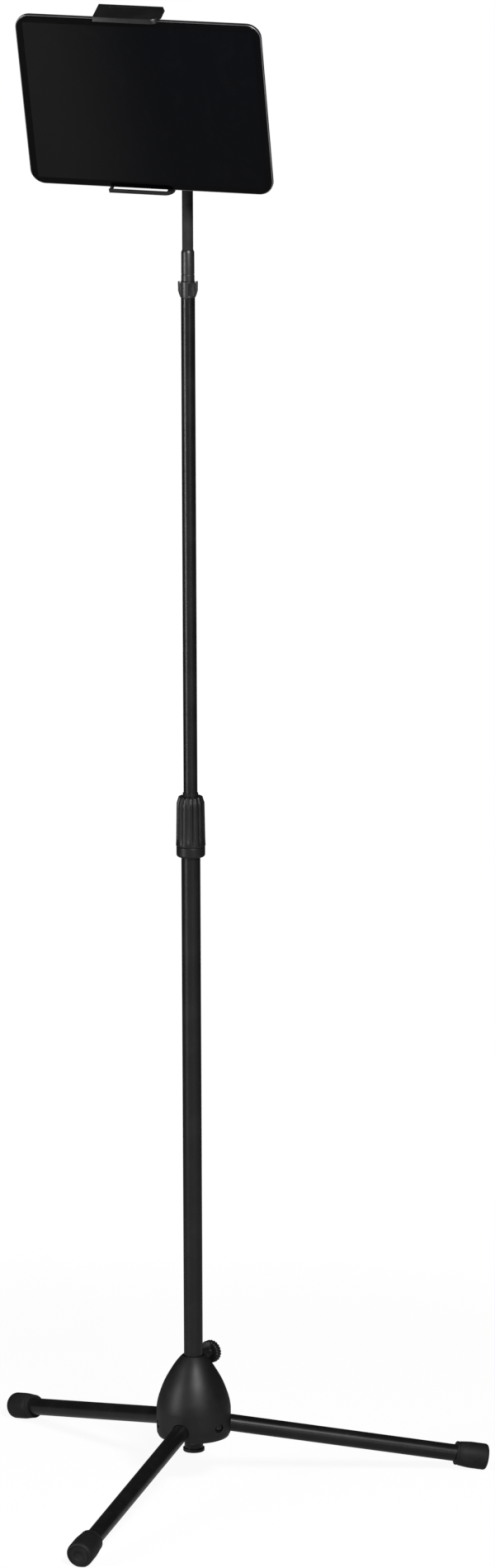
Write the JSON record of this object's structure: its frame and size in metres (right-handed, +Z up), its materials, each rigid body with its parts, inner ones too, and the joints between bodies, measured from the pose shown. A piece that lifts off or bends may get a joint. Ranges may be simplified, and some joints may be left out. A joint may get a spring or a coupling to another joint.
{
  "type": "music tablet stand",
  "caption": "Folding tripod floor stand with a telescoping column, flexible neck and sprung clamp holding a music tablet.",
  "frame": {"origin": "the point on the floor straight under the column's axis", "axes": "+Z up the column; the reader stands on the -Y side; +X to the reader's right"},
  "size_m": [0.5752, 0.6104, 1.7377],
  "materials": {
    "black_paint": "satin black enamel",
    "black_plastic": "fine-textured moulding",
    "soft_sleeve": "matte shrink sleeve",
    "foot_rubber": "matte",
    "pad_rubber": "matte",
    "bush_plastic": "plain acetal",
    "black_steel": "blackened",
    "bright_steel": "zinc plated",
    "brass": "machined",
    "tablet_aluminium": "anodised grey",
    "screen_glass": "polished black front",
    "display_panel": "dark panel, switched off",
    "battery_pack": "wrapped cells"
  },
  "bodies": {
    "column": {"lower_tube": "black_paint", "tube_end_cap": "black_plastic", "clutch_ring": "black_plastic", "clutch_sleeve": "black_plastic", "clutch_collet": "bush_plastic"},
    "clutch_grip": {"clutch_grip": "black_plastic"},
    "hub": {"hub_shell": "black_plastic", "hub_liner": "bush_plastic", "clamp_insert": "brass", "clamp_pad": "bush_plastic", "pivot_screws": "black_steel", "pivot_nuts": "bright_steel"},
    "clamp_knob": {"clamp_knob": "black_plastic", "clamp_screw": "black_steel"},
    "leg_front": {"leg_tube_front": "black_paint", "leg_hinge_front": "black_plastic", "foot_front": "foot_rubber"},
    "leg_right": {"leg_tube_right": "black_paint", "leg_hinge_right": "black_plastic", "foot_right": "foot_rubber"},
    "leg_left": {"leg_tube_left": "black_paint", "leg_hinge_left": "black_plastic", "foot_left": "foot_rubber"},
    "mast": {"upper_tube": "black_paint", "guide_bush": "bush_plastic", "tube_stud": "bright_steel"},
    "wing_nut": {"wing_nut": "black_paint", "grub_screw": "black_steel"},
    "neck_base": {"neck_base_ferrule": "black_paint", "neck_lower": "soft_sleeve"},
    "neck_top": {"neck_upper": "soft_sleeve", "neck_end_ferrule": "black_paint", "ball_stud": "bright_steel"},
    "ball_seat": {"ball_seat": "bush_plastic"},
    "clamp": {"clamp_shell": "black_plastic", "clamp_cover": "black_plastic", "cover_screws": "black_steel", "back_pads": "pad_rubber", "guide_rods": "bright_steel", "jaw_springs": "bright_steel", "lower_jaw": "black_paint", "lower_jaw_pads": "pad_rubber"},
    "ring_nut": {"ring_nut": "black_plastic"},
    "upper_jaw": {"upper_jaw": "black_paint", "upper_jaw_pad": "pad_rubber"},
    "tablet": {"tablet_case": "tablet_aluminium", "tablet_internals": "battery_pack", "tablet_display": "display_panel", "tablet_glass": "screen_glass"}
  },
  "joints": [
    {"name": "hub_slide", "type": "slide", "parent": "column", "child": "hub", "axis": [0, 0, 1], "range_m": [0, 0.56]},
    {"name": "clamp_knob_turn", "type": "hinge", "parent": "hub", "child": "clamp_knob", "pos_m": [0.01893, 0.02703, 0.1508], "axis": [0.5736, 0.8192, 0], "range_deg": [0, 540]},
    {"name": "leg_fold_front", "type": "hinge", "parent": "hub", "child": "leg_front", "pos_m": [-0.00916, -0.02326, 0.0744], "axis": [0.9304, -0.3665, 0], "range_deg": [0, 77.5]},
    {"name": "leg_fold_right", "type": "hinge", "parent": "hub", "child": "leg_right", "pos_m": [0.02473, 0.00369, 0.0744], "axis": [-0.1478, 0.989, 0], "range_deg": [0, 77.5]},
    {"name": "leg_fold_left", "type": "hinge", "parent": "hub", "child": "leg_left", "pos_m": [-0.01556, 0.01956, 0.0744], "axis": [-0.7826, -0.6225, 0], "range_deg": [0, 77.5]},
    {"name": "clutch_twist", "type": "hinge", "parent": "column", "child": "clutch_grip", "pos_m": [0, 0, 0.79], "axis": [0, 0, 1], "range_deg": [0, 120]},
    {"name": "mast_extend", "type": "slide", "parent": "column", "child": "mast", "axis": [0, 0, 1], "range_m": [-0.5, 0.03]},
    {"name": "wing_nut_turn", "type": "hinge", "parent": "mast", "child": "wing_nut", "pos_m": [0, 0, 1.405], "axis": [0, 0, 1], "range_deg": [-180, 180]},
    {"name": "neck_swivel", "type": "hinge", "parent": "mast", "child": "neck_base", "pos_m": [0, 0, 1.43], "axis": [0, 0, 1], "range_deg": [-180, 180]},
    {"name": "neck_bend", "type": "hinge", "parent": "neck_base", "child": "neck_top", "pos_m": [0, 0, 1.6], "axis": [0.1975, -0.9803, 0], "range_deg": [-20, 15]},
    {"name": "head_tilt", "type": "hinge", "parent": "neck_top", "child": "ball_seat", "pos_m": [-0.05562, -0.06835, 1.63752], "axis": [0.9707, -0.2387, -0.0272], "range_deg": [-25, 4.5]},
    {"name": "head_spin", "type": "hinge", "parent": "ball_seat", "child": "clamp", "pos_m": [-0.05562, -0.06835, 1.63752], "axis": [-0.2293, -0.8865, -0.4019], "continuous": true},
    {"name": "ring_nut_turn", "type": "hinge", "parent": "clamp", "child": "ring_nut", "pos_m": [-0.05562, -0.06835, 1.63752], "axis": [-0.2293, -0.8865, -0.4019], "range_deg": [0, 180]},
    {"name": "upper_jaw_lift", "type": "slide", "parent": "clamp", "child": "upper_jaw", "axis": [-0.0719, -0.3964, 0.9153], "range_m": [0, 0.022], "stiffness_N_per_m": 450, "springref_m": -0.02, "deforming": ["jaw_springs"]},
    {"name": "tablet_slide", "type": "slide", "parent": "clamp", "child": "tablet", "axis": [0.9707, -0.2387, -0.0272], "range_m": [-0.1, 0.1]}
  ]
}
